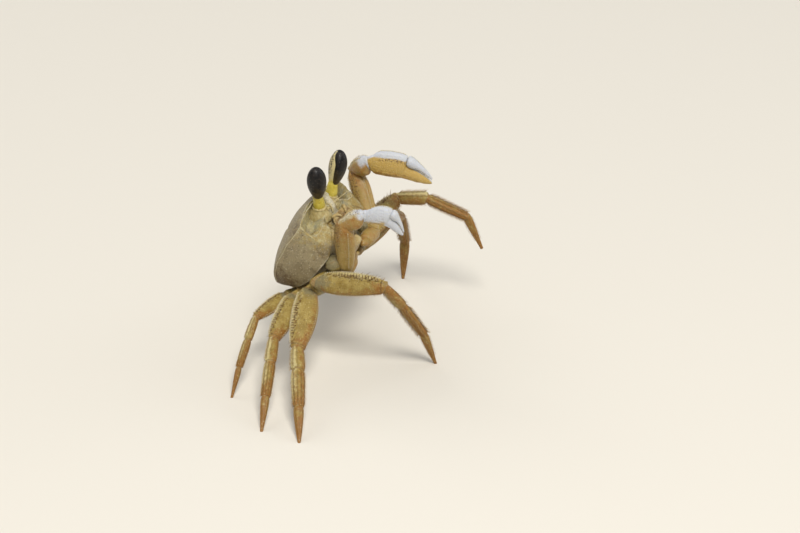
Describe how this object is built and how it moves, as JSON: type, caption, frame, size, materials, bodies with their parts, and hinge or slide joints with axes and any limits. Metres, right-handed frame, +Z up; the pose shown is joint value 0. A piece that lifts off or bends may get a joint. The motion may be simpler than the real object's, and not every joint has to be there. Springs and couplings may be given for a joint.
{
  "type": "ghost crab, reared up on its walking legs",
  "caption": "Life-size ghost crab standing nose-up on its walking legs, stalked eyes raised and both claws held out in front; a still display animal.",
  "frame": {"origin": "middle of the outline's box, on the floor plane under the toes", "axes": "+Z up from the floor, the crab faces -Y, its left side is +X"},
  "size_m": [0.1032, 0.0508, 0.0553],
  "materials": {
    "shell": "fine-grained matt shell, sand-grey to lilac-brown",
    "underside": "smooth pale shell",
    "mouth": "pale shell with brown bristles",
    "leg": "straw-yellow shell with whitish rims",
    "claw": "white to orange-yellow granular shell",
    "stalk": "smooth yellow shell",
    "cornea": "dark brown-grey eye surface with a soft shine"
  },
  "bodies": {
    "root": {"carapace": "shell", "sternum": "underside", "abdomen": "underside", "maxilliped_left": "mouth", "eyestalk_left": "stalk", "cornea_left": "cornea", "claw_hip_left": "leg", "claw_arm_left": "claw", "claw_wrist_left": "claw", "claw_hand_left": "claw", "claw_finger_left": "claw", "hip_leg2_left": "leg", "merus_leg2_left": "leg", "carpus_leg2_left": "leg", "propodus_leg2_left": "leg", "dactylus_leg2_left": "leg", "hip_leg3_left": "leg", "merus_leg3_left": "leg", "carpus_leg3_left": "leg", "propodus_leg3_left": "leg", "dactylus_leg3_left": "leg", "hip_leg4_left": "leg", "merus_leg4_left": "leg", "carpus_leg4_left": "leg", "propodus_leg4_left": "leg", "dactylus_leg4_left": "leg", "hip_leg5_left": "leg", "merus_leg5_left": "leg", "carpus_leg5_left": "leg", "propodus_leg5_left": "leg", "dactylus_leg5_left": "leg", "maxilliped_right": "mouth", "eyestalk_right": "stalk", "cornea_right": "cornea", "claw_hip_right": "leg", "claw_arm_right": "claw", "claw_wrist_right": "claw", "claw_hand_right": "claw", "claw_finger_right": "claw", "hip_leg2_right": "leg", "merus_leg2_right": "leg", "carpus_leg2_right": "leg", "propodus_leg2_right": "leg", "dactylus_leg2_right": "leg", "hip_leg3_right": "leg", "merus_leg3_right": "leg", "carpus_leg3_right": "leg", "propodus_leg3_right": "leg", "dactylus_leg3_right": "leg", "hip_leg4_right": "leg", "merus_leg4_right": "leg", "carpus_leg4_right": "leg", "propodus_leg4_right": "leg", "dactylus_leg4_right": "leg", "hip_leg5_right": "leg", "merus_leg5_right": "leg", "carpus_leg5_right": "leg", "propodus_leg5_right": "leg", "dactylus_leg5_right": "leg"}
  },
  "joints": []
}
